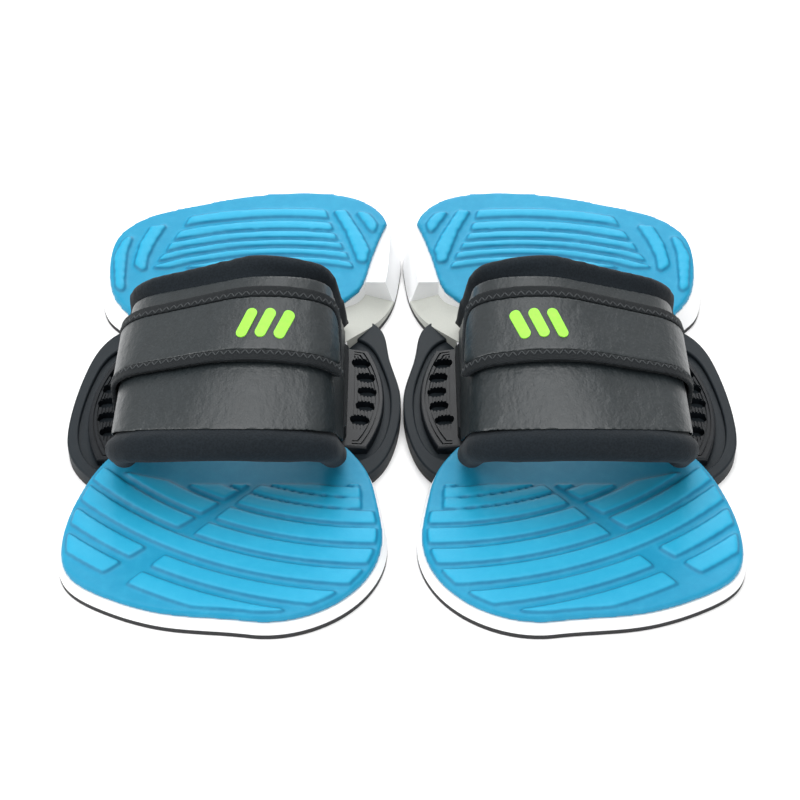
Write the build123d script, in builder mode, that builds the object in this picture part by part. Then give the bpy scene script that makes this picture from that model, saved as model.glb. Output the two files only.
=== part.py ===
"""A pair of kiteboard foot bindings: contoured foot pads, arched foot straps and hook-and-loop belts.

Millimetres, +Z up, toes towards -Y. The pads stand side by side on Z = 0 with the pair centred on X = 0.
Every piece is drawn once, for the pad at -X (the wearer's right foot), and mirrored for the left foot.
"""
from build123d import *
import math
import os

os.makedirs("parts", exist_ok=True)

# Pad
PAD_X = -80.3            # centreline of the right foot's pad
OUTSOLE_TOP = 2.5        # rubber outsole, from the ground up
CHASSIS_TOP = 5.5        # flat of the nylon chassis
RIM_TOP = 7.6            # raised rim round each wing of the chassis
TOE_TOP = 11.5           # footbed surface under the toes
HEEL_START = 29.0        # the footbed is level in front of this and rises behind it
HEEL_RISE = 0.18
HEEL_BLEND = 160.0
FOOTBED_THICKNESS = 3.4
SOLE_DRAFT = 16.0        # degrees that the sidewalls lean inwards
TALL = 150.0             # any height above the whole binding

# Ribs moulded on the footbed
RIB_HEIGHT = 1.7
RIB_CORNER = 1.2
RIB_INSET = 2.4
TOE_RIB_CENTRE = (67, 70)
TOE_RIBS = [(215.5, 223.5), (202.5, 210), (176.7, 184.7), (164, 172.3), (153.2, 160.2)]
LONG_TOE_RIB = (189, 197)
SHORT_TOE_RIBS = [(145.8, 151), (138.5, 143.8), (131.5, 136.5)]
HEEL_RIB_CENTRE = (18, -90)
HEEL_RIBS = [(212.6, 217.8), (204, 208.8), (197.6, 201.4), (191.8, 195), (185.6, 188.9), (179.8, 182.8)]

TOE_CHANNEL = [(30, -50), (20, -56), (-62, -130), (-53, -142)]
HEEL_STACK = [(-30, 126), (-48.5, 86), (54.5, 86), (50.5, 97), (45, 108), (38.5, 129)]
HEEL_FINS = [
    [(-70, 94), (-67.2, 72), (-63, 69), (-63.6, 79), (-64.2, 96), (-61.6, 110), (-66.5, 105)],
    [(-52.7, 114.7), (-57, 103.3), (-59, 88), (-53.3, 82), (-52.9, 92.8), (-50.1, 103.3), (-44.6, 116.5)],
    [(44, 126.5), (50.9, 111.9), (57.6, 90), (61.3, 89), (63, 98.4), (58.9, 109), (50, 127)],
    [(55.4, 126.5), (65.4, 109), (67, 117), (63, 124)],
]

# Board fixing: two slots in each pad for M6 screws
BOARD_SPACING = 155.0
BOARD_SLOT_LENGTH = 16.6
BOARD_SLOT_WIDTH = 6.6
HEAD_ROOM_WIDTH = 15.0

# Anchor racks on the wings; the outer wing sits further towards the toes
RACK_INNER = 44.5
RACK_WIDTH = 27.5
RACK_INNER_TOP = 12.0
RACK_SLOPE = 0.135
RACK_NEAR = -39.0
RACK_FAR = 34.0
OUTER_SHIFT = -8.0
SLOT_PITCH = 10.4
HIDDEN_SLOT = (8.0, 6.4)
SHOWN_SLOT = (9.5, 7.0)
HIDDEN_ROW = 49.3
SHOWN_ROW = 63.4
ROW_BOW = 3.4
SLOTS_MIDDLE = 2.0
GROOVE_PITCH = 1.7
GROOVE_WIDTH = 0.8
GROOVE_DEPTH = 0.6
STEP_INSETS = (2.0, 3.8)
STEP_WIDTH = 0.7
STEP_DEPTH = 0.8

# Strap arch, in two leaning planes: its toe edge and its heel edge. Corners are (across, height).
STRAP_BASE = 18.0
TOE_EDGE_Y = -48.0
TOE_EDGE_LEAN = 0.886    # forward travel for each millimetre of height
TOE_ARCH = [(-53, 18), (-50, 53), (6, 63), (50, 53), (53, 18)]
TOE_ARCH_RADII = [20, 90, 20]
HEEL_EDGE_Y = 43.0
HEEL_EDGE_LEAN = 0.57
HEEL_ARCH = [(-54, 18), (-49, 58), (18, 87), (46, 79), (52, 18)]
HEEL_ARCH_RADII = [28, 36, 18]
PADDING_INSIDE = -9.0    # layers are given by their distance outside the strap's outer face
PADDING_OUTSIDE = -2.6
PADDING_CLEARANCE = 2.2  # over the footbed and its waist inserts
TOE_ROLL = (7.3, -4.8, 4.0)      # radius, distance outside the face, reach beyond the edge
HEEL_ROLL = (5.4, -3.0, -2.0)
EDGE_ROLL_FOOT = 4.0
FACE_INSET = 5.5

# Strap ends: a webbing sleeve with a nut plate, clamped from below by two M5 screws
SLEEVE_INNER = 44.8
SLEEVE_OUTER = 53.8
SLEEVE_MIDDLE = (SLEEVE_INNER + SLEEVE_OUTER) / 2
SLEEVE_NEAR = -34.0
SLEEVE_FAR = 28.5
NUT_PLATE_BOTTOM = 13.2
NUT_PLATE_TOP = 16.2
NUT_PLATE_MIDDLE = (NUT_PLATE_BOTTOM + NUT_PLATE_TOP) / 2
SCREW_RADIUS = 2.45
SCREW_HEAD_RADIUS = 4.4
SCREW_HEAD_BOTTOM = 0.5
SCREW_HEAD_TOP = 3.2
SCREW_TIP = 15.8

# Belt over the strap: it folds open at its crown and swings at its outer foot
BELT_Y = -29.2
BELT_Z = 80.0
BELT_LEAN = 0.45
BELT_WIDTH = 41.0
BINDING_WIDTH = 6.0
BELT_FOOT = 20.0
TONGUE_REACH = 27.0      # from the crown down to the tongue's tip
TONGUE_CORNER = 14.0
FOLD_X = -2.0
FOLD_GAP = 0.15
BADGE_BARS = [(10, 16), (18.5, 16), (27, 16)]
BADGE_Y = -29.0
BADGE_WIDTH = 5.0
BADGE_SLANT = 68.0
TAB_X = -55.6
TAB_Y = -2.0
TAB_LENGTH = 42.0
TAB_THICKNESS = 2.4
TAB_TOP = 18.2            # the belt's foot turns clear above it


def write_pair(name, piece):
    """Label and write the right foot's piece, then its mirror image for the left foot."""
    piece.part.label = f"right_{name}"
    export_step(piece.part, f"parts/right_{name}.step")
    with BuildPart() as twin:
        mirror(piece.part, about=Plane.YZ)
    twin.part.label = f"left_{name}"
    export_step(twin.part, f"parts/left_{name}.step")


def on_pad(points):
    """Plan points of the right pad, given from its centreline with x towards the big toe."""
    return [(PAD_X + x, y) for x, y in points]


def outer_copy(piece):
    """A big-toe-side fitting, mirrored to the little-toe side, where it sits further forward."""
    with BuildPart() as copy:
        with Locations((0, OUTER_SHIFT, 0)):
            add(mirror(piece.part, about=Plane.YZ.offset(PAD_X), mode=Mode.PRIVATE))
    return copy


# ---------------------------------------------------------------- plan outlines

SOLE_EDGE = on_pad([
    (14, -147.4), (42, -143.5), (64, -126), (73.5, -100), (71, -76), (66, -54), (56, -38),
    (45, -20), (43, 0), (47, 28), (64, 53), (75, 75), (79, 100), (78, 123), (62, 140.5),
    (30, 147.2), (-4, 144.5), (-36, 136), (-64, 124), (-77, 106), (-77.5, 88), (-71, 64),
    (-58, 50), (-46, 30), (-43, 0), (-46, -26), (-60, -46), (-69.5, -68), (-74.3, -96),
    (-69, -120), (-52, -133), (-22, -143.5),
])


def sole_plan(inset):
    """The pad's outline, drawn in by an even amount."""
    moved = []
    for index, (x, y) in enumerate(SOLE_EDGE):
        before = Vector(*SOLE_EDGE[index - 1])
        after = Vector(*SOLE_EDGE[(index + 1) % len(SOLE_EDGE)])
        along = (after - before).normalized()
        moved.append((x - along.Y * inset, y + along.X * inset))
    with BuildSketch() as plan:
        with BuildLine():
            Spline(*moved, periodic=True)
        make_face()
    return plan.sketch


def sole_block():
    """The pad's outline raised with its sidewalls leaning in, taller than the footbed."""
    height = 40
    with BuildPart() as block:
        with BuildSketch(Plane.XY.offset(OUTSOLE_TOP)):
            add(sole_plan(0))
        with BuildSketch(Plane.XY.offset(OUTSOLE_TOP + height)):
            add(sole_plan(height * math.tan(math.radians(SOLE_DRAFT))))
        loft(ruled=True)
    return block.part


with BuildSketch() as wings:
    with BuildLine():
        inner_edge = Spline(*on_pad([
            (52, -60), (69, -49), (76.5, -31), (79.6, -10), (79, 6), (73.5, 32), (70.5, 50), (58, 62),
        ]))
        outer_edge = Spline(*on_pad([
            (-52, -64), (-68, -54), (-77, -41), (-80.5, -20), (-80, -4), (-77, 20), (-70, 42), (-52, 56),
        ]))
        Line(inner_edge @ 0, outer_edge @ 0)
        Line(inner_edge @ 1, outer_edge @ 1)
    make_face()

with BuildSketch() as inner_wing_floor:
    with BuildLine():
        Spline(*on_pad([
            (54, -46), (66, -40), (72, -27), (74.6, -8), (74, 6), (69.5, 26), (64, 39), (54, 46),
        ]))
        Polyline(*on_pad([(54, 46), (54, -46)]))
    make_face()

with BuildSketch() as outer_wing_floor:
    with BuildLine():
        Spline(*on_pad([
            (-54, -54), (-66, -48), (-72.5, -37), (-75.6, -19), (-75, -4), (-72, 16), (-66, 32), (-54, 40),
        ]))
        Polyline(*on_pad([(-54, 40), (-54, -54)]))
    make_face()

# where the footbed is cut back from the pad's edge: on the big-toe side round to the heel,
# on the little-toe side only at the waist
with BuildSketch() as waist_scoops:
    with BuildLine():
        Spline(*on_pad([
            (60, -30), (42.5, -20), (40, 4), (42, 38), (48, 61), (57, 70), (63, 87), (67.5, 104),
            (76, 124), (92, 136),
        ]))
        Polyline(*on_pad([(92, 136), (92, -30), (60, -30)]))
    make_face()
    with BuildLine():
        Spline(*on_pad([(-60, -30), (-42.5, -20), (-40, 4), (-43, 30), (-52, 46), (-65, 55), (-92, 60)]))
        Polyline(*on_pad([(-92, 60), (-92, -30), (-60, -30)]))
    make_face()

with BuildSketch() as board_slots:
    with Locations(*on_pad([(0, BOARD_SPACING / 2), (0, -BOARD_SPACING / 2)])):
        SlotOverall(BOARD_SLOT_LENGTH, BOARD_SLOT_WIDTH, rotation=90)

with BuildSketch() as head_rooms:
    with Locations(*on_pad([(0, BOARD_SPACING / 2), (0, -BOARD_SPACING / 2)])):
        SlotOverall(BOARD_SLOT_LENGTH + HEAD_ROOM_WIDTH - BOARD_SLOT_WIDTH, HEAD_ROOM_WIDTH, rotation=90)


def below_footbed(depth):
    """Everything under the surface that lies depth below the top of the footbed."""
    with BuildPart() as block:
        with BuildSketch(Plane.YZ.offset(PAD_X)):
            with BuildLine():
                reach = 200
                far_top = TOE_TOP + HEEL_RISE * (reach - HEEL_START) - depth
                FilletPolyline(
                    (-reach, TOE_TOP - depth), (HEEL_START, TOE_TOP - depth), (reach, far_top),
                    radius=HEEL_BLEND,
                )
                Polyline((reach, far_top), (reach, 0), (-reach, 0), (-reach, TOE_TOP - depth))
            make_face()
        extrude(amount=100, both=True)
    return block.part


def prism(plan, bottom, top):
    """A plan extruded between two heights."""
    with BuildPart() as block:
        with BuildSketch(Plane.XY.offset(bottom)):
            add(plan)
        extrude(amount=top - bottom)
    return block.part


# ---------------------------------------------------------------- pad

def screw_places(shift=0.0):
    """M5 screws that hold one strap end: the second and fourth slots of the hidden row."""
    return [(HIDDEN_ROW, SLOTS_MIDDLE + shift - SLOT_PITCH), (HIDDEN_ROW, SLOTS_MIDDLE + shift + SLOT_PITCH)]


inner_screws = on_pad(screw_places())
outer_screws = on_pad([(-x, y) for x, y in screw_places(OUTER_SHIFT)])

with BuildPart() as outsole:
    with BuildSketch():
        add(sole_plan(0))
        add(wings.sketch)
        with Locations(*inner_screws, *outer_screws):
            Circle(SCREW_HEAD_RADIUS + 1.2, mode=Mode.SUBTRACT)
        add(board_slots.sketch, mode=Mode.SUBTRACT)
    extrude(amount=OUTSOLE_TOP)

with BuildPart() as chassis:
    with BuildSketch(Plane.XY.offset(OUTSOLE_TOP)):
        add(wings.sketch)
        with Locations(*on_pad([(0, 0)])):
            RectangleRounded(58, BOARD_SPACING + 40, 12)
        with Locations(*inner_screws, *outer_screws):
            Circle(SCREW_RADIUS + 0.35, mode=Mode.SUBTRACT)
        add(board_slots.sketch, mode=Mode.SUBTRACT)
    extrude(amount=CHASSIS_TOP - OUTSOLE_TOP)
    with BuildSketch(Plane.XY.offset(CHASSIS_TOP)):
        add(wings.sketch)
        add(inner_wing_floor.sketch, mode=Mode.SUBTRACT)
        add(outer_wing_floor.sketch, mode=Mode.SUBTRACT)
        with Locations(*on_pad([(0, 0)])):
            Rectangle(108, 200, mode=Mode.SUBTRACT)
    extrude(amount=RIM_TOP - CHASSIS_TOP)
    rim = chassis.faces().filter_by(lambda face: abs(face.center().Z - RIM_TOP) < 0.01)
    fillet(rim.edges().filter_by(GeomType.BSPLINE), 0.9)
    with BuildSketch(Plane.XY.offset(OUTSOLE_TOP)):
        with Locations(*inner_screws, *outer_screws):
            Circle(SCREW_HEAD_RADIUS + 0.4)
    extrude(amount=SCREW_HEAD_TOP - OUTSOLE_TOP, mode=Mode.SUBTRACT)

rack_plane = Plane(
    origin=(PAD_X + RACK_INNER, 0, RACK_INNER_TOP),
    x_dir=(1, 0, -RACK_SLOPE),
    z_dir=(RACK_SLOPE, 0, 1),
)


def rack_outline(inset):
    """D-shaped plan of a rack from its inner edge outwards, bowed towards the wing's edge."""
    corner = RACK_WIDTH - 8.5 - inset
    with BuildSketch() as plan:
        with BuildLine():
            near = (inset, RACK_NEAR + inset)
            near_corner = (corner, RACK_NEAR + 1 + inset)
            far_corner = (corner, RACK_FAR - 1 - inset)
            far = (inset, RACK_FAR - inset)
            Line(near, near_corner)
            ThreePointArc(near_corner, (RACK_WIDTH - 0.5 - inset, (RACK_NEAR + RACK_FAR) / 2), far_corner)
            Polyline(far_corner, far, near)
        make_face()
    return plan.sketch


def slot_row(across, bow):
    """Five slots, measured from the rack's inner edge; a bowed row is drawn in at both ends."""
    places = []
    for step in range(-2, 3):
        places.append((across - RACK_INNER - bow * (step / 2) ** 2, SLOTS_MIDDLE + step * SLOT_PITCH))
    return places


with BuildPart() as inner_rack:
    with BuildSketch(Plane.XY.offset(CHASSIS_TOP)):
        with Locations((PAD_X + RACK_INNER, 0)):
            add(rack_outline(0))
    extrude(amount=TALL)
    with BuildSketch(rack_plane):
        Rectangle(300, 300)
    extrude(amount=2 * TALL, mode=Mode.SUBTRACT)
    top_edges = inner_rack.faces().sort_by(Axis.Z)[-1].edges()
    fillet(top_edges, 1.2)
    # two steps that follow the bowed edge
    with BuildSketch(rack_plane):
        for inset in STEP_INSETS:
            add(rack_outline(inset))
            add(rack_outline(inset + STEP_WIDTH), mode=Mode.SUBTRACT)
        with Locations((4, 0)):
            Rectangle(16, 120, mode=Mode.SUBTRACT)
    extrude(amount=-STEP_DEPTH, mode=Mode.SUBTRACT)
    # fine fore-and-aft grooves round the slots on show
    with BuildSketch(rack_plane):
        with Locations((SHOWN_ROW - RACK_INNER - 1.5, SLOTS_MIDDLE)):
            with GridLocations(GROOVE_PITCH, 1, 7, 1):
                Rectangle(GROOVE_WIDTH, 5.4 * SLOT_PITCH)
        add(rack_outline(STEP_INSETS[-1] + 2 * STEP_WIDTH), mode=Mode.INTERSECT)
    extrude(amount=-GROOVE_DEPTH, mode=Mode.SUBTRACT)
    with BuildSketch(rack_plane):
        with Locations(*slot_row(HIDDEN_ROW, 0)):
            SlotOverall(*HIDDEN_SLOT)
        with Locations(*slot_row(SHOWN_ROW, ROW_BOW)):
            SlotOverall(*SHOWN_SLOT)
    extrude(amount=-TALL, mode=Mode.SUBTRACT)

outer_rack = outer_copy(inner_rack)

with BuildSketch() as rack_room:
    with Locations((PAD_X + RACK_INNER, 0)):
        add(rack_outline(-0.4))
    with Locations((0, OUTER_SHIFT)):
        add(mirror(rack_room.sketch, about=Plane.YZ.offset(PAD_X), mode=Mode.PRIVATE))

with BuildSketch() as insert_plan:
    add(waist_scoops.sketch)
    add(sole_plan(0), mode=Mode.INTERSECT)
    with Locations(*on_pad([(0, 58)])):
        Rectangle(200, 42, mode=Mode.INTERSECT)

with BuildPart() as waist_inserts:
    with BuildSketch(Plane.XY.offset(OUTSOLE_TOP)):
        add(insert_plan.sketch)
    extrude(amount=TALL)
    with BuildSketch(Plane.XZ):
        for side in (1, -1):
            with BuildLine():
                slope = [(30, 17), (47, 13.5), (73, 5), (90, 1), (90, 400), (30, 400)]
                Polyline(*[(PAD_X + side * x, z) for x, z in slope], close=True)
            make_face()
    extrude(amount=300, both=True, mode=Mode.SUBTRACT)
    add(chassis.part, mode=Mode.SUBTRACT)

with BuildPart() as midsole:
    add(sole_block())
    add(below_footbed(FOOTBED_THICKNESS), mode=Mode.INTERSECT)
    add(chassis.part, mode=Mode.SUBTRACT)
    add(prism(rack_room.sketch, OUTSOLE_TOP + 1, TALL), mode=Mode.SUBTRACT)
    add(prism(insert_plan.sketch, OUTSOLE_TOP, TALL), mode=Mode.SUBTRACT)
    add(prism(board_slots.sketch, 0, CHASSIS_TOP), mode=Mode.SUBTRACT)
    add(prism(head_rooms.sketch, CHASSIS_TOP, TALL), mode=Mode.SUBTRACT)

toe_plane = Plane(origin=(PAD_X, 0, TOE_TOP - 0.5))
heel_plane = Plane(
    origin=(PAD_X, HEEL_START, TOE_TOP - 0.5),
    x_dir=(1, 0, 0),
    z_dir=(0, -HEEL_RISE, 1),
)


def rib_rings(centre, radii):
    """Concentric bars round one centre."""
    with BuildSketch() as rings:
        for inner, outer in radii:
            with BuildSketch(mode=Mode.PRIVATE) as ring:
                with Locations(centre):
                    Circle(outer)
                    Circle(inner, mode=Mode.SUBTRACT)
            add(ring.sketch)
    return rings.sketch


def outline(points):
    """A closed flat shape through the points."""
    with BuildSketch() as shape:
        with BuildLine():
            Polyline(*points, close=True)
        make_face()
    return shape.sketch


with BuildSketch() as toe_room:
    with Locations((-PAD_X, 0)):
        add(sole_plan(TOE_TOP * math.tan(math.radians(SOLE_DRAFT)) + RIB_INSET - 0.5))
    add(
        outline([(-90, -46), (-20, -66), (64, -66), (62, -75), (90, -75), (90, -160), (-90, -160)]),
        mode=Mode.INTERSECT,
    )

with BuildSketch() as toe_ribs:
    add(rib_rings(TOE_RIB_CENTRE, TOE_RIBS))
    with BuildSketch(mode=Mode.PRIVATE) as short_ribs:
        add(rib_rings(TOE_RIB_CENTRE, SHORT_TOE_RIBS))
        add(outline([(-17, -60), (60, -60), (63, -110), (-17, -110)]), mode=Mode.INTERSECT)
    add(short_ribs.sketch)
    # the channel that runs slantwise from the middle to the little toe
    add(outline(TOE_CHANNEL), mode=Mode.SUBTRACT)
    add(rib_rings(TOE_RIB_CENTRE, [LONG_TOE_RIB]))
    add(toe_room.sketch, mode=Mode.INTERSECT)

with BuildSketch() as heel_ribs:
    with BuildSketch(mode=Mode.PRIVATE) as heel_stack:
        add(rib_rings(HEEL_RIB_CENTRE, HEEL_RIBS))
        add(outline(HEEL_STACK), mode=Mode.INTERSECT)
    with Locations((0, -HEEL_START)):
        add(heel_stack.sketch)
    for fin in HEEL_FINS:
        with BuildSketch(mode=Mode.PRIVATE) as fin_shape:
            add(outline(fin))
            fillet(fin_shape.vertices(), RIB_CORNER)
        with Locations((0, -HEEL_START)):
            add(fin_shape.sketch)

with BuildPart() as rib_bars:
    for plane, bars in ((toe_plane, toe_ribs), (heel_plane, heel_ribs)):
        with BuildSketch(plane):
            add(bars.sketch)
        extrude(amount=RIB_HEIGHT + 0.5)

with BuildPart() as footbed:
    add(sole_block())
    add(below_footbed(0), mode=Mode.INTERSECT)
    add(below_footbed(FOOTBED_THICKNESS), mode=Mode.SUBTRACT)
    add(prism(rack_room.sketch, 0, TALL), mode=Mode.SUBTRACT)
    add(prism(waist_scoops.sketch, 0, TALL), mode=Mode.SUBTRACT)
    add(rib_bars.part)


# ---------------------------------------------------------------- strap ends

with BuildPart() as below_rack:
    with BuildSketch(rack_plane):
        Rectangle(300, 300)
    extrude(amount=-TALL)

with BuildPart() as inner_strap_end:
    with BuildSketch(Plane.XZ.offset(-SLEEVE_NEAR)):
        with BuildLine():
            low = 9
            high = STRAP_BASE - 0.1
            near_side = PAD_X + SLEEVE_INNER
            far_side = PAD_X + SLEEVE_OUTER
            Polyline((near_side, low), (far_side, low), (far_side, high), (near_side, high), close=True)
        make_face()
    extrude(amount=SLEEVE_NEAR - SLEEVE_FAR)
    add(below_rack.part, mode=Mode.SUBTRACT)
    fillet(inner_strap_end.edges().filter_by(Axis.Z), 3)
    # pocket for the nut plate, and clearance for the screws from below
    with Locations((PAD_X + SLEEVE_MIDDLE, SLOTS_MIDDLE, NUT_PLATE_MIDDLE)):
        Box(7.4, 60, NUT_PLATE_TOP - NUT_PLATE_BOTTOM, mode=Mode.SUBTRACT)
    with BuildSketch(Plane.XY.offset(9)):
        with Locations(*inner_screws):
            Circle(SCREW_RADIUS + 0.15)
    extrude(amount=SCREW_TIP + 0.4 - 9, mode=Mode.SUBTRACT)

outer_strap_end = outer_copy(inner_strap_end)

with BuildPart() as nut_plates:
    for side, shift in ((1, 0), (-1, OUTER_SHIFT)):
        with Locations((PAD_X + side * SLEEVE_MIDDLE, SLOTS_MIDDLE + shift, NUT_PLATE_MIDDLE)):
            Box(7.0, 59, NUT_PLATE_TOP - NUT_PLATE_BOTTOM - 0.2)
    with BuildSketch(Plane.XY.offset(9)):
        with Locations(*inner_screws, *outer_screws):
            Circle(SCREW_RADIUS + 0.05)
    extrude(amount=20, mode=Mode.SUBTRACT)

with BuildPart() as anchor_screws:
    with BuildSketch(Plane.XY.offset(SCREW_HEAD_BOTTOM)):
        with Locations(*inner_screws, *outer_screws):
            Circle(SCREW_HEAD_RADIUS)
            RegularPolygon(1.8, 6, mode=Mode.SUBTRACT)
    extrude(amount=SCREW_HEAD_TOP - SCREW_HEAD_BOTTOM)
    with BuildSketch(Plane.XY.offset(SCREW_HEAD_TOP - 1)):
        with Locations(*inner_screws, *outer_screws):
            Circle(SCREW_RADIUS)
    extrude(amount=SCREW_TIP - SCREW_HEAD_TOP + 1)

# ---------------------------------------------------------------- strap

toe_edge = Plane(
    origin=(PAD_X, TOE_EDGE_Y, STRAP_BASE),
    x_dir=(1, 0, 0),
    z_dir=(0, -1, -TOE_EDGE_LEAN),
)
heel_edge = Plane(
    origin=(PAD_X, HEEL_EDGE_Y, STRAP_BASE),
    x_dir=(1, 0, 0),
    z_dir=(0, -1, -HEEL_EDGE_LEAN),
)


def arch_points(arch, lean, distance, foot=0.0):
    """Corners of an arch moved outwards by a distance, measured up its leaning plane."""
    stretch = math.sqrt(1 + lean ** 2)
    corners = [Vector(x, (z - STRAP_BASE) * stretch) for x, z in arch]
    count = len(corners)
    sides = []
    for index in range(count - 1):
        along = (corners[index + 1] - corners[index]).normalized()
        sides.append((along, Vector(-along.Y, along.X)))
    moved = []
    for index, corner in enumerate(corners):
        if index == 0:
            start = corner + sides[0][1] * distance
            moved.append(start - sides[0][0] * ((start.Y + foot) / sides[0][0].Y))
        elif index == count - 1:
            end = corner + sides[-1][1] * distance
            moved.append(end - sides[-1][0] * ((end.Y + foot) / sides[-1][0].Y))
        else:
            mitre = (sides[index - 1][1] + sides[index][1]).normalized()
            moved.append(corner + mitre * (distance / mitre.dot(sides[index][1])))
    return [(point.X, point.Y) for point in moved]


def arch_profile(arch, lean, radii, inner, outer):
    """Closed outline between two distances outside an arch."""
    outside = arch_points(arch, lean, outer)
    inside = arch_points(arch, lean, inner)
    corner_radii = [0] + [radius + outer for radius in radii] + [0, 0]
    corner_radii += [radius + inner for radius in reversed(radii)] + [0]
    return FilletPolyline(*outside, *reversed(inside), radius=corner_radii, close=True)


def strap_layer(inner, outer):
    """One layer of the strap, between two distances outside its outer face."""
    with BuildPart() as layer:
        with BuildSketch(toe_edge):
            with BuildLine():
                arch_profile(TOE_ARCH, TOE_EDGE_LEAN, TOE_ARCH_RADII, inner, outer)
            make_face()
        with BuildSketch(heel_edge):
            with BuildLine():
                arch_profile(HEEL_ARCH, HEEL_EDGE_LEAN, HEEL_ARCH_RADII, inner, outer)
            make_face()
        loft(ruled=True)
    return layer.part


def between_edges(inset):
    """Everything between the strap's toe edge and heel edge, drawn in by an inset."""
    corners = []
    for height in (0, TALL):
        up = height - STRAP_BASE
        corners.append((TOE_EDGE_Y + inset - TOE_EDGE_LEAN * up, height))
    for height in (TALL, 0):
        up = height - STRAP_BASE
        corners.append((HEEL_EDGE_Y - inset - HEEL_EDGE_LEAN * up, height))
    with BuildPart() as block:
        with BuildSketch(Plane.YZ.offset(PAD_X)):
            with BuildLine():
                Polyline(*corners, close=True)
            make_face()
        extrude(amount=100, both=True)
    return block.part


def edge_roll(plane, arch, lean, radii, size):
    """Padded roll along one edge of the strap."""
    thickness, depth, reach = size
    points = arch_points(arch, lean, depth, EDGE_ROLL_FOOT)
    with BuildPart() as roll:
        with BuildLine(plane.offset(reach)) as path:
            FilletPolyline(*points, radius=[radius + depth for radius in radii])
        with BuildSketch(Plane(origin=path.line @ 0, z_dir=path.line % 0)):
            Circle(thickness)
        sweep(path=path.line)
    return roll.part


with BuildPart() as strap_padding:
    add(strap_layer(PADDING_INSIDE, PADDING_OUTSIDE))
    add(edge_roll(toe_edge, TOE_ARCH, TOE_EDGE_LEAN, TOE_ARCH_RADII, TOE_ROLL))
    add(edge_roll(heel_edge, HEEL_ARCH, HEEL_EDGE_LEAN, HEEL_ARCH_RADII, HEEL_ROLL))
    add(below_footbed(-PADDING_CLEARANCE), mode=Mode.SUBTRACT)

with BuildPart() as strap_stiffener:
    add(strap_layer(-2.4, -1.4))
    add(between_edges(12), mode=Mode.INTERSECT)

with BuildPart() as strap_face:
    add(strap_layer(-1.2, 0))
    add(between_edges(FACE_INSET), mode=Mode.INTERSECT)

# ---------------------------------------------------------------- belt

belt_side = Plane(origin=(PAD_X, BELT_Y, BELT_Z), x_dir=(0, 1, BELT_LEAN), z_dir=(1, 0, 0))


def belt_block(inset, tip, corner, start, end):
    """Room of the belt seen from the side, from one place across the strap to another."""
    half = BELT_WIDTH / 2 - inset
    with BuildPart() as block:
        with BuildSketch(belt_side.offset(start)):
            with BuildLine():
                FilletPolyline(
                    (half, 60), (half, inset - tip), (-half, inset - tip), (-half, 60),
                    radius=[0, corner, corner, 0], close=True,
                )
            make_face()
        extrude(amount=end - start)
    return block.part


def belt_part(inner, outer, rooms, cuts):
    """A layer of the belt kept inside every room and outside every cut."""
    with BuildPart() as piece:
        add(strap_layer(inner, outer))
        for room in rooms:
            add(room, mode=Mode.INTERSECT)
        for cut in cuts:
            add(cut, mode=Mode.SUBTRACT)
    return piece


with BuildPart() as above_foot:
    with Locations((PAD_X, 0, BELT_FOOT)):
        Box(200, 400, TALL, align=(Align.CENTER, Align.CENTER, Align.MIN))

SIDE = 100
belt_end = FOLD_X - FOLD_GAP
tongue_start = FOLD_X + FOLD_GAP

belt_inside = belt_block(BINDING_WIDTH, SIDE, 0, -SIDE, belt_end)
belt_panel = belt_part(1.6, 3.4, [belt_inside, above_foot.part], [])
belt_binding = belt_part(1.4, 3.8, [belt_block(0, SIDE, 0, -SIDE, belt_end), above_foot.part], [belt_inside])

tongue_inside = belt_block(BINDING_WIDTH, TONGUE_REACH, TONGUE_CORNER - BINDING_WIDTH, tongue_start, SIDE)
tongue_panel = belt_part(1.6, 3.4, [tongue_inside], [])
tongue_binding = belt_part(
    1.4, 3.8, [belt_block(0, TONGUE_REACH, TONGUE_CORNER, tongue_start, SIDE)], [tongue_inside]
)
hook_patch = belt_part(1.0, 1.4, [belt_block(BINDING_WIDTH + 1, TONGUE_REACH, 6, 14, SIDE)], [])
loop_landing = belt_part(0.1, 0.8, [belt_block(3, TONGUE_REACH + 6, 10, -30, SIDE)], [])

with BuildPart() as badge:
    add(strap_layer(3.4, 3.9))
    with BuildSketch() as badge_bars:
        for place, length in BADGE_BARS:
            with Locations((PAD_X + place, BADGE_Y)):
                SlotOverall(length, BADGE_WIDTH, rotation=BADGE_SLANT)
    add(prism(badge_bars.sketch, BELT_Z - 30, TALL), mode=Mode.INTERSECT)

with BuildPart() as belt_tab:
    with Locations((PAD_X + TAB_X, TAB_Y, 0)):
        Box(TAB_THICKNESS, TAB_LENGTH, TAB_TOP, align=(Align.CENTER, Align.CENTER, Align.MIN))
    add(outer_copy(below_rack).part, mode=Mode.SUBTRACT)

for name, piece in {
    "outsole": outsole,
    "chassis": chassis,
    "inner_rack": inner_rack,
    "outer_rack": outer_rack,
    "waist_inserts": waist_inserts,
    "midsole": midsole,
    "footbed": footbed,
    "inner_strap_end": inner_strap_end,
    "outer_strap_end": outer_strap_end,
    "nut_plates": nut_plates,
    "anchor_screws": anchor_screws,
    "strap_padding": strap_padding,
    "strap_stiffener": strap_stiffener,
    "strap_face": strap_face,
    "loop_landing": loop_landing,
    "belt_tab": belt_tab,
    "belt_panel": belt_panel,
    "belt_binding": belt_binding,
    "tongue_panel": tongue_panel,
    "tongue_binding": tongue_binding,
    "hook_patch": hook_patch,
    "badge": badge,
}.items():
    write_pair(name, piece)
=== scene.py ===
import math

import bpy
from mathutils import Matrix, Vector
from mathutils.bvhtree import BVHTree


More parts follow.
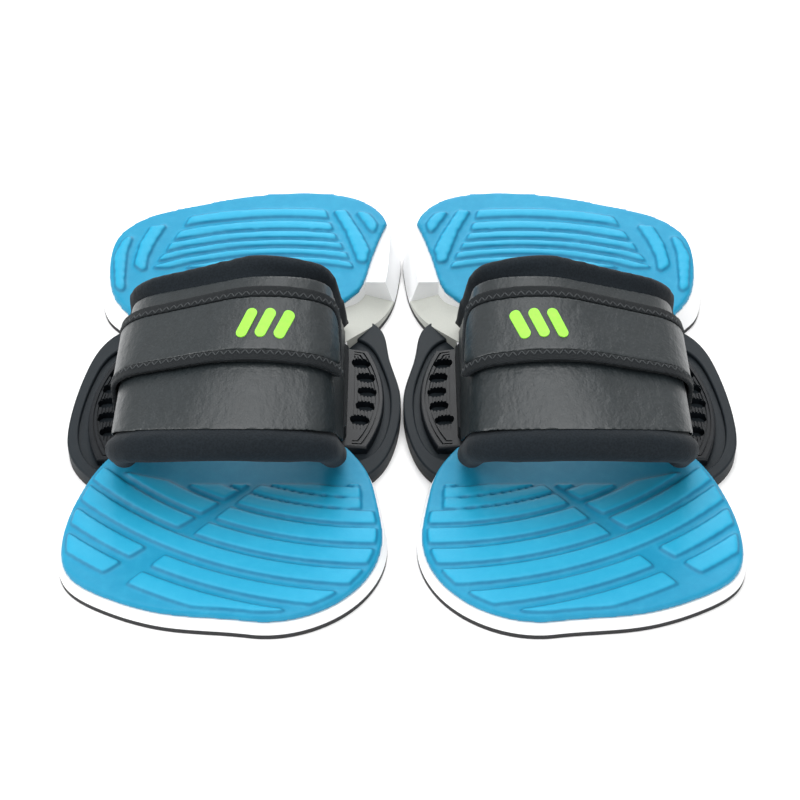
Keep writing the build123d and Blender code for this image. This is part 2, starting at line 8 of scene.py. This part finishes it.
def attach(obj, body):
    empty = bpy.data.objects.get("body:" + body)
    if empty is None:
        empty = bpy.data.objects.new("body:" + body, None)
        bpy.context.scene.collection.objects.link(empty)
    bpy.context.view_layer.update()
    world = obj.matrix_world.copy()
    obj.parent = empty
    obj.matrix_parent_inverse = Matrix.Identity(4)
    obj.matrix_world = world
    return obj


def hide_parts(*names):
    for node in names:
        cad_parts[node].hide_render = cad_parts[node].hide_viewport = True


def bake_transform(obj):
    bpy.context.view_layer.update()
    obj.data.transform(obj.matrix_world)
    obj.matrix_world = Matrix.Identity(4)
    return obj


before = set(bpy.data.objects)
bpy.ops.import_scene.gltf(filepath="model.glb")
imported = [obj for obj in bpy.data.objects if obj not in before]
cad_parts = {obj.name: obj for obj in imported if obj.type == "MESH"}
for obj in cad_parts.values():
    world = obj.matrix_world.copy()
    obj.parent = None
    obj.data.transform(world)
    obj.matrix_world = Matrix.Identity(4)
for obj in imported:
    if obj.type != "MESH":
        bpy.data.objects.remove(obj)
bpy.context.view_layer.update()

bpy.ops.object.select_all(action="DESELECT")
MM = 0.001
SIDES = ("right", "left")

# --- Camera, floor and studio light ---------------------------------------
# A pale seamless floor and large soft boxes, looking down on the toes of both pads.
bpy.ops.object.camera_add(location=(-0.00098, -0.6476, 0.5888), rotation=(math.radians(48), 0, 0))
camera = bpy.context.object
camera.data.lens = 79.8
camera.data.sensor_width = 36
bpy.context.scene.camera = camera
bpy.context.scene.view_settings.view_transform = "Standard"

bpy.ops.mesh.primitive_plane_add(size=14, location=(0, 0, -0.0002))
floor = bpy.context.object
floor.name = "studio_floor"


class Shade:
    """A socket of a material's node tree that can be used in a Python expression."""

    def __init__(self, tree, socket):
        self.tree = tree
        self.socket = socket

    def maths(self, operation, other):
        return node(self.tree, "ShaderNodeMath", {"operation": operation}, {0: self, 1: other})

    def __add__(self, other):
        return self.maths("ADD", other)

    def __mul__(self, other):
        return self.maths("MULTIPLY", other)

    __radd__ = __add__
    __rmul__ = __mul__

    def up_to(self, power):
        return self.maths("POWER", power)


def node(tree, kind, settings, inputs, output=0):
    """Add one node: its settings first, then the values or links of its sockets."""
    made = tree.nodes.new(kind)
    for name, value in settings.items():
        if name == "stops":
            ramp = made.color_ramp
            ramp.elements[0].position, ramp.elements[0].color = value[0]
            ramp.elements[1].position, ramp.elements[1].color = value[1]
            for place, colour in value[2:]:
                ramp.elements.new(place).color = colour
        else:
            setattr(made, name, value)
    for name, value in inputs.items():
        if isinstance(value, Shade):
            tree.links.new(value.socket, made.inputs[name])
        else:
            made.inputs[name].default_value = value
    return Shade(tree, made.outputs[output])


def finish_material(name, constants):
    """A new material with its Principled shader's unvarying values set."""
    material = bpy.data.materials.new(name)
    material.use_nodes = True
    tree = material.node_tree
    shader = tree.nodes["Principled BSDF"]
    for socket, value in constants.items():
        shader.inputs[socket].default_value = value
    place = node(tree, "ShaderNodeTexCoord", {}, {}, "Object")
    return material, tree, shader, place


def noise(tree, place, scale, detail=3.0, roughness=0.5):
    """Fractal noise over the object's own coordinates, in features per metre."""
    return node(tree, "ShaderNodeTexNoise", {}, {
        "Vector": place, "Scale": scale, "Detail": detail, "Roughness": roughness}, "Fac")


# the colour sockets of a Mix node, by number
COLOUR_A = 6
COLOUR_B = 7
MIXED_COLOUR = 2


def between(tree, factor, low, high):
    """A colour that runs from one to another with the factor."""
    return node(
        tree, "ShaderNodeMix", {"data_type": "RGBA"},
        {"Factor": factor, COLOUR_A: low, COLOUR_B: high}, MIXED_COLOUR)


def drive(tree, shader, **links):
    """Link what varies over the surface to the shader."""
    names = {
        "colour": "Base Color", "roughness": "Roughness", "normal": "Normal", "coat": "Coat Weight"}
    for name, value in links.items():
        tree.links.new(value.socket, shader.inputs[names[name]])


def bump(tree, height, strength, distance):
    """A surface normal that follows a height, raised by a distance in metres."""
    return node(
        tree, "ShaderNodeBump", {},
        {"Height": height, "Strength": strength, "Distance": distance}, "Normal")


paper, tree, shader, place = finish_material("studio_paper", {"Roughness": 0.9})
speckle = noise(tree, place, 3)
drive(tree, shader, colour=between(tree, speckle, (0.93, 0.93, 0.93, 1), (0.96, 0.96, 0.96, 1)))
floor.data.materials.append(paper)

world = bpy.data.worlds.new("studio_room")
world.use_nodes = True
world.node_tree.nodes["Background"].inputs["Color"].default_value = (1, 1, 1, 1)
world.node_tree.nodes["Background"].inputs["Strength"].default_value = 0.62
bpy.context.scene.world = world

for name, spot, turn, size, power in (
    ("top_box", (0.0, -0.1, 1.5), (0, 0, 0), 1.2, 16),
    ("back_box", (0.1, 1.3, 0.9), (-58, 0, 0), 1.0, 14),
    ("left_box", (-1.2, -0.3, 0.8), (0, -58, 0), 0.7, 9),
    ("front_box", (0.5, -1.3, 0.7), (62, 0, 20), 0.7, 5),
):
    bpy.ops.object.light_add(type="AREA", location=spot, rotation=[math.radians(a) for a in turn])
    lamp = bpy.context.object
    lamp.name = name
    lamp.data.shape = "SQUARE"
    lamp.data.size = size
    lamp.data.energy = power


def dress(name, material):
    """Give every face of the pair of like CAD parts one material."""
    for side in SIDES:
        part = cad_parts[f"{side}_{name}"]
        part.data.materials.clear()
        part.data.materials.append(material)


# --- Outsole ---------------------------------------------------------------
# A thin black rubber sheet under the whole pad, cut out and glued on.
outsole_rubber, tree, shader, place = finish_material("outsole_rubber", {"Specular IOR Level": 0.35})
grain = noise(tree, place, 1400)
drive(
    tree, shader,
    colour=between(tree, grain, (0.012, 0.012, 0.013, 1), (0.03, 0.03, 0.032, 1)),
    roughness=0.6 + grain * 0.2,
    normal=bump(tree, grain, 0.25, 0.0003),
)
dress("outsole", outsole_rubber)

# --- Midsole ---------------------------------------------------------------
# White closed-cell foam that lifts the heel, compression moulded to its leaning sidewalls.
white_foam, tree, shader, place = finish_material("white_foam", {"Specular IOR Level": 0.3})
cells = noise(tree, place, 2200, 2)
cloud = noise(tree, place, 14)
drive(
    tree, shader,
    colour=between(tree, cloud, (0.80, 0.81, 0.82, 1), (0.88, 0.885, 0.89, 1)),
    roughness=0.62 + cells * 0.18,
    normal=bump(tree, cells, 0.18, 0.0002),
)
dress("midsole", white_foam)

# --- Waist inserts ---------------------------------------------------------
# Warm grey foam patches let into the midsole's flanks where the pad narrows.
grey_foam, tree, shader, place = finish_material("grey_foam", {"Specular IOR Level": 0.3})
cells = noise(tree, place, 1900, 2)
drive(
    tree, shader,
    colour=between(tree, cells, (0.38, 0.39, 0.36, 1), (0.49, 0.50, 0.46, 1)),
    roughness=0.6 + cells * 0.2,
    normal=bump(tree, cells, 0.2, 0.0003),
)
dress("waist_inserts", grey_foam)

# --- Footbed ---------------------------------------------------------------
# Blue closed-cell foam with ribs and fins moulded on. The ribs' edges are rounded by the mould.
TOE_TOP = 11.5 * MM
HEEL_START = 29 * MM
HEEL_RISE = 0.18
RIB_HEIGHT = 1.7 * MM
MOULD_GRAIN = 1.0 * MM
blue_foam, tree, shader, place = finish_material("blue_foam", {"Specular IOR Level": 0.32})
cells = noise(tree, place, 2400, 2)
cloud = noise(tree, place, 22)
scuff = noise(tree, place, 160, 5, 0.65)
raised = node(tree, "ShaderNodeAttribute", {"attribute_name": "raised"}, {}, "Fac")
# painted shade and highlight: the foam between the ribs is coloured darker and the ribs' crests lighter,
# by how high each point stands
shaded_groove = between(tree, cloud, (0.001, 0.205, 0.37, 1), (0.002, 0.245, 0.42, 1))
lit_crest = between(tree, cloud, (0.004, 0.275, 0.47, 1), (0.012, 0.335, 0.54, 1))
base = between(tree, raised.up_to(0.8), shaded_groove, lit_crest)
# the ribs' walls catch less light than their crests and the floor between them
wall_stops = [(0.04, (0, 0, 0, 1)), (0.25, (1, 1, 1, 1)), (0.55, (1, 1, 1, 1)), (0.85, (0, 0, 0, 1))]
wall = node(tree, "ShaderNodeValToRGB", {"stops": wall_stops}, {"Fac": raised})
base = between(tree, wall * 0.6, base, (0.0, 0.09, 0.20, 1))
drive(
    tree, shader,
    colour=between(tree, scuff.up_to(3.0) * 0.5, base, (0.05, 0.46, 0.66, 1)),
    roughness=0.40 + cells * 0.22,
    normal=bump(tree, cells, 0.22, 0.0003),
)


def soft_copy(side, names, piece_name, material):
    """A new piece with the merged shape of one or more CAD parts, which it replaces."""
    copies = []
    for name in names:
        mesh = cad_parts[f"{side}_{name}"].data.copy()
        copy = bpy.data.objects.new(f"{side}_{piece_name}", mesh)
        bpy.context.collection.objects.link(copy)
        copies.append(copy)
    bpy.ops.object.select_all(action="DESELECT")
    for copy in copies:
        copy.data.materials.clear()
        copy.select_set(True)
    piece = copies[0]
    bpy.context.view_layer.objects.active = piece
    if len(copies) > 1:
        bpy.ops.object.join()
    bpy.ops.object.mode_set(mode="EDIT")
    bpy.ops.mesh.select_all(action="SELECT")
    bpy.ops.mesh.remove_doubles(threshold=0.01 * MM)
    bpy.ops.object.mode_set(mode="OBJECT")
    piece.data.materials.append(material)
    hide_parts(*[f"{side}_{name}" for name in names])
    return piece


def apply_all(piece):
    """Apply every modifier of a piece, top to bottom."""
    bpy.ops.object.select_all(action="DESELECT")
    bpy.context.view_layer.objects.active = piece
    piece.select_set(True)
    for modifier in list(piece.modifiers):
        bpy.ops.object.modifier_apply(modifier=modifier.name)


def remould(piece, grain, passes):
    """Give a piece an even mesh of small faces and soften its edges over a number of passes."""
    even = piece.modifiers.new("even", "REMESH")
    even.mode = "VOXEL"
    even.voxel_size = grain
    if passes:
        soften(piece, passes)


def soften(piece, passes):
    """Smooth a piece's mesh, half way in each pass."""
    smooth = piece.modifiers.new("softened", "SMOOTH")
    smooth.iterations = passes
    smooth.factor = 0.5


for side in SIDES:
    footbed = soft_copy(side, ["footbed"], "moulded_footbed", blue_foam)
    remould(footbed, MOULD_GRAIN, 2)
    apply_all(footbed)
    bpy.ops.object.shade_smooth()
    # how far each point stands above the foam between the ribs, which sets the footbed's painted shade
    # and highlight
    raised = footbed.data.attributes.new("raised", "FLOAT", "POINT")
    for vertex, value in zip(footbed.data.vertices, raised.data):
        rise = max(0.0, vertex.co.y - HEEL_START) * HEEL_RISE
        value.value = min(1.0, max(0.0, (vertex.co.z - TOE_TOP - rise) / RIB_HEIGHT))
    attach(footbed, "bindings")

# --- Chassis ---------------------------------------------------------------
# Glass-filled nylon, moulded matt, with a raised rim round each wing.
chassis_nylon, tree, shader, place = finish_material("chassis_nylon", {"Specular IOR Level": 0.2})
texture = noise(tree, place, 3200, 2)
drive(
    tree, shader,
    colour=between(tree, texture, (0.005, 0.008, 0.011, 1), (0.012, 0.018, 0.023, 1)),
    roughness=0.5 + texture * 0.16,
    normal=bump(tree, texture, 0.3, 0.0002),
)
dress("chassis", chassis_nylon)

# --- Anchor racks ----------------------------------------------------------
# Gloss nylon racks on the wings. Fine ribs and two rows of slots take the strap ends.
rack_gloss, tree, shader, place = finish_material(
    "rack_gloss", {"Specular IOR Level": 0.22, "Coat Roughness": 0.15})
ripple = noise(tree, place, 260, 2)
smear = noise(tree, place, 70, 4)
drive(
    tree, shader,
    colour=between(tree, ripple, (0.003, 0.004, 0.006, 1), (0.007, 0.010, 0.013, 1)),
    roughness=0.34 + smear * 0.16,
    coat=smear.up_to(3.0) * 0.25,
    normal=bump(tree, ripple, 0.06, 0.0004),
)
dress("inner_rack", rack_gloss)
dress("outer_rack", rack_gloss)

# --- Screws and nut plates -------------------------------------------------
# Stainless steel, seen only from below through the outsole.
steel, tree, shader, place = finish_material("anchor_steel", {"Metallic": 1.0})
brushed = noise(tree, place, 900, 4)
drive(
    tree, shader,
    colour=between(tree, brushed, (0.45, 0.45, 0.46, 1), (0.62, 0.62, 0.63, 1)),
    roughness=0.25 + brushed * 0.2,
)
dress("anchor_screws", steel)
dress("nut_plates", steel)


# --- Strap padding ---------------------------------------------------------
# Foam wrapped in black neoprene: an arched pad with a plump roll sewn along its toe and heel edges.
neoprene, tree, shader, place = finish_material(
    "neoprene", {"Specular IOR Level": 0.14, "Sheen Weight": 0.05, "Sheen Roughness": 0.5})
knit = node(tree, "ShaderNodeTexVoronoi", {}, {"Vector": place, "Scale": 1100.0}, "Distance")
pile = noise(tree, place, 60, 4)
drive(
    tree, shader,
    colour=between(tree, knit + pile * 0.4, (0.003, 0.005, 0.007, 1), (0.009, 0.013, 0.017, 1)),
    roughness=0.78 + pile * 0.15,
    normal=bump(tree, knit, 0.35, 0.0003),
)
PADDING_GRAIN = 2.6 * MM
PADDING_SOFTNESS = 6
# the cover starts a little slack, and the foam then fills it
SLACK = 0.5 * MM
FOAM_PRESSURE = 4
MOST_SWELL = 1.2 * MM
SWELL_FRAMES = 20


def swell(piece):
    """Blow a foam piece up from inside against its cover, by a capped amount."""
    before = [vertex.co.copy() for vertex in piece.data.vertices]
    cover = piece.modifiers.new("cover", "CLOTH")
    cover.settings.use_pressure = True
    cover.settings.uniform_pressure_force = FOAM_PRESSURE
    cover.settings.effector_weights.gravity = 0
    for tick in range(1, SWELL_FRAMES + 1):
        bpy.context.scene.frame_set(tick)
    apply_all(piece)
    bpy.context.scene.frame_set(1)
    for vertex, start in zip(piece.data.vertices, before):
        moved = vertex.co - start
        if moved.length > MOST_SWELL:
            vertex.co = start + moved * (MOST_SWELL / moved.length)


for side in SIDES:
    padding = soft_copy(side, ["strap_padding"], "strap_cushion", neoprene)
    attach(padding, "bindings")
    remould(padding, PADDING_GRAIN, 0)
    slack = padding.modifiers.new("slack", "DISPLACE")
    slack.mid_level = 0.0
    slack.strength = -SLACK
    apply_all(padding)
    swell(padding)
    soften(padding, PADDING_SOFTNESS)
    finer = padding.modifiers.new("finer", "SUBSURF")
    finer.levels = 1
    finer.render_levels = 1
    apply_all(padding)
    bpy.ops.object.shade_smooth()

# --- Strap leather ---------------------------------------------------------
# The strap's outer face: synthetic leather with a fine grain, pulled tight over the padding.
# Its cut edges are slightly rounded.
leather, tree, shader, place = finish_material(
    "synthetic_leather", {"Specular IOR Level": 0.5, "Coat Roughness": 0.35})
pebble = node(
    tree, "ShaderNodeTexVoronoi", {"feature": "SMOOTH_F1"}, {"Vector": place, "Scale": 900.0}, "Distance")
crease = noise(tree, place, 120, 5, 0.6)
rubbed = noise(tree, place, 26, 3)
# fine wrinkles that run across the strap, and a few soft buckles
stretched = node(
    tree, "ShaderNodeMapping", {}, {"Vector": place, "Scale": (330.0, 170.0, 170.0)}, "Vector")
wrinkle = noise(tree, stretched, 1.0, 2.5, 0.5)
buckle = noise(tree, place, 34, 2)
grain = crease * 0.7 + pebble * 0.5
relief = pebble * 0.12 + crease * 0.2 + wrinkle * 0.5 + buckle * 1.6
drive(
    tree, shader,
    colour=between(tree, grain, (0.006, 0.009, 0.010, 1), (0.016, 0.022, 0.025, 1)),
    roughness=0.30 + pebble * 0.16 + rubbed * 0.12,
    coat=0.06 + rubbed * 0.12,
    normal=bump(tree, relief, 0.75, 0.0011),
)
STRAP_GRAIN = 0.75 * MM
SHEET_SOFTNESS = 6


def finish_sheet(piece):
    """Apply a sheet's modifiers and shade it smooth but for its edges."""
    apply_all(piece)
    bpy.ops.object.shade_smooth_by_angle(angle=math.radians(40))


for side in SIDES:
    face = soft_copy(side, ["strap_face"], "strap_leather", leather)
    remould(face, STRAP_GRAIN, SHEET_SOFTNESS)
    finish_sheet(face)
    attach(face, "bindings")

# --- Belt and tongue -------------------------------------------------------
# One length of the same leather. It runs up from the outer foot, over the crown, where it folds
# open, and down to the rounded tip of the tongue.
BELT_GRAIN = 0.6 * MM
FOLD = 82.3 * MM                # the fold line, from the middle between the pads
BEND_REACH = 9 * MM
SLIT = 0.2 * MM                 # more than half the gap between belt and tongue


def outwards(side):
    """-1 for the right foot's pad, which stands at -X, and 1 for the left foot's."""
    return -1 if side == "right" else 1


def sew_across_fold(piece, side):
    """Close the slit where belt and tongue meet at the crown."""
    line = outwards(side) * FOLD
    for vertex in piece.data.vertices:
        if abs(vertex.co.x - line) < SLIT:
            vertex.co.x = line
    bpy.ops.object.mode_set(mode="EDIT")
    bpy.ops.mesh.select_all(action="DESELECT")
    bpy.ops.object.mode_set(mode="OBJECT")
    for face in piece.data.polygons:
        corners = [piece.data.vertices[index].co.x for index in face.vertices]
        face.select = max(abs(x - line) for x in corners) < 0.01 * MM
    bpy.ops.object.mode_set(mode="EDIT")
    bpy.ops.mesh.select_mode(type="FACE")
    bpy.ops.mesh.delete(type="ONLY_FACE")
    bpy.ops.mesh.select_all(action="SELECT")
    bpy.ops.mesh.remove_doubles(threshold=0.1 * MM)
    bpy.ops.object.mode_set(mode="OBJECT")


def bend_at_fold(piece, side):
    """Bake a piece's placement into its mesh."""
    outwards(side) * (FOLD + BEND_REACH)
    outwards(side) * (FOLD - BEND_REACH)
    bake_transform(piece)


for side in SIDES:
    belt = soft_copy(side, ["belt_panel", "tongue_panel"], "belt_leather", leather)
    sew_across_fold(belt, side)
    remould(belt, BELT_GRAIN, SHEET_SOFTNESS)
    finish_sheet(belt)
    bend_at_fold(belt, side)

# --- Edging and stitches ---------------------------------------------------
# Woven tape folded round the edges of belt and tongue. A zigzag of slightly lighter thread
# holds it down along both edges.
binding_tape, tree, shader, place = finish_material(
    "binding_tape", {"Specular IOR Level": 0.16, "Sheen Weight": 0.03})
ribs = node(
    tree, "ShaderNodeTexWave", {"bands_direction": "Y"},
    {"Vector": place, "Scale": 420.0, "Distortion": 0.6}, "Fac")
fuzz = noise(tree, place, 1500, 2)
weave = ribs * 0.6 + fuzz * 0.4
drive(
    tree, shader,
    colour=between(tree, weave, (0.003, 0.004, 0.005, 1), (0.010, 0.013, 0.015, 1)),
    roughness=0.6 + fuzz * 0.2,
    normal=bump(tree, ribs + fuzz * 0.5, 0.35, 0.0003),
)
thread, tree, shader, place = finish_material("stitching_thread", {"Specular IOR Level": 0.3})
twist = noise(tree, place, 4000, 2)
drive(
    tree, shader,
    colour=between(tree, twist, (0.015, 0.018, 0.02, 1), (0.05, 0.056, 0.06, 1)),
    roughness=0.5 + twist * 0.3,
    normal=bump(tree, twist, 0.3, 0.0001),
)
STITCH_LENGTH = 3.4 * MM
STITCH_PITCH = 1.9 * MM
STITCH_RADIUS = 0.34 * MM
STITCH_GAP = 4 * MM             # a jump longer than this is not sewn
ZIGZAG = math.radians(52)
STITCH_ROWS = (("toe", -16.2 * MM), ("heel", 16.2 * MM))
# the belt's own directions, up its leaning side and across its width
BELT_UP = Vector((0, -0.41, 0.912))
BELT_ACROSS = Vector((0, 0.912, 0.41))


def stitch_row(piece, rays, piece_name):
    """Sew a row of stitches where the rays meet a piece, as one mesh."""
    surface = BVHTree.FromObject(piece, bpy.context.evaluated_depsgraph_get())
    met = [surface.ray_cast(start, towards) for start, towards in rays]
    met = [(place, normal) for place, normal, face, far in met if place]
    stitches = []
    walked = STITCH_PITCH
    for (here, normal), (ahead, after) in zip(met, met[1:]):
        step = (ahead - here).length
        if step > STITCH_GAP:
            continue
        walked += step
        if walked < STITCH_PITCH:
            continue
        walked -= STITCH_PITCH
        bpy.ops.mesh.primitive_uv_sphere_add(segments=8, ring_count=5, radius=1)
        stitch = bpy.context.object
        slant = ZIGZAG if len(stitches) % 2 else -ZIGZAG
        along = Matrix.Rotation(slant, 3, normal) @ (ahead - here).normalized()
        across = normal.cross(along).normalized()
        turn = Matrix((along, across, normal)).transposed().to_4x4()
        size = Matrix.Diagonal((STITCH_LENGTH / 2, STITCH_RADIUS, STITCH_RADIUS, 1))
        stitch.data.transform(Matrix.Translation(here) @ turn @ size)
        stitches.append(stitch)
    bpy.ops.object.select_all(action="DESELECT")
    for stitch in stitches:
        stitch.select_set(True)
    bpy.context.view_layer.objects.active = stitches[0]
    bpy.ops.object.join()
    row = bpy.context.object
    row.name = piece_name
    row.data.transform(row.matrix_world)
    row.matrix_world = Matrix()
    row.data.materials.append(thread)
    bpy.ops.object.shade_smooth()
    return row


def round_strap(side, across):
    """Rays that come in all round the belt at one place across it, from its foot to its tip."""
    crown = Vector((outwards(side) * 80.3 * MM, -29.2 * MM, 80 * MM))
    centre = crown - BELT_UP * 38 * MM + BELT_ACROSS * across
    rays = []
    for half_degree in range(420):
        angle = math.radians(-38 + half_degree * 0.5)
        away = Vector((outwards(side) * math.cos(angle), 0, 0)) + BELT_UP * math.sin(angle)
        rays.append((centre + away * 0.12, -away))
    return rays


for side in SIDES:
    edging = soft_copy(
        side, ["belt_binding", "tongue_binding"], "belt_edging", binding_tape)
    sew_across_fold(edging, side)
    remould(edging, BELT_GRAIN, SHEET_SOFTNESS)
    finish_sheet(edging)
    bend_at_fold(edging, side)
    for edge, across in STITCH_ROWS:
        row = stitch_row(edging, round_strap(side, across), f"{side}_{edge}_stitches")
        bend_at_fold(row, side)

# --- Webbing ends, hook and loop -------------------------------------------
# Woven ends that stand on the racks and the belt's foot tab, with the loop pile sewn to the
# strap and the hook tape under the tongue that grips it.
WEBBING_EDGE = 0.15 * MM


def round_edges(piece, width):
    """Round every edge that turns sharply."""
    bevel = piece.modifiers.new("rounded", "BEVEL")
    bevel.width = width
    bevel.segments = 3
    bevel.limit_method = "ANGLE"
    bevel.angle_limit = math.radians(50)
    bevel.use_clamp_overlap = False


for side in SIDES:
    for name, piece_name, body, material, slot_name in (
        ("inner_strap_end", "inner_webbing_end", "bindings", binding_tape, "webbing"),
        ("outer_strap_end", "outer_webbing_end", "bindings", binding_tape, "webbing"),
        ("belt_tab", "belt_webbing_tab", "bindings", binding_tape, "webbing"),
        ("loop_landing", "loop_pile", "bindings", neoprene, "loop_fabric"),
        ("hook_patch", "hook_tape", f"{side}_tongue", binding_tape, "hook_plastic"),
    ):
        piece = soft_copy(side, [name], piece_name, material)
        round_edges(piece, WEBBING_EDGE)
        finish_sheet(piece)
        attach(piece, body)

# --- Strap stiffener -------------------------------------------------------
# A thin nylon sheet between the padding and the leather, hidden when the strap is sewn up.
dress("strap_stiffener", chassis_nylon)

# --- Badge -----------------------------------------------------------------
# Three slanted bars of soft lime rubber, welded to the tongue.
badge_rubber, tree, shader, place = finish_material("badge_rubber", {"Specular IOR Level": 0.45})
mottle = noise(tree, place, 500)
drive(
    tree, shader,
    colour=between(tree, mottle, (0.22, 0.62, 0.03, 1), (0.32, 0.74, 0.06, 1)),
    roughness=0.35 + mottle * 0.2,
    normal=bump(tree, mottle, 0.15, 0.0003),
)
dress("badge", badge_rubber)
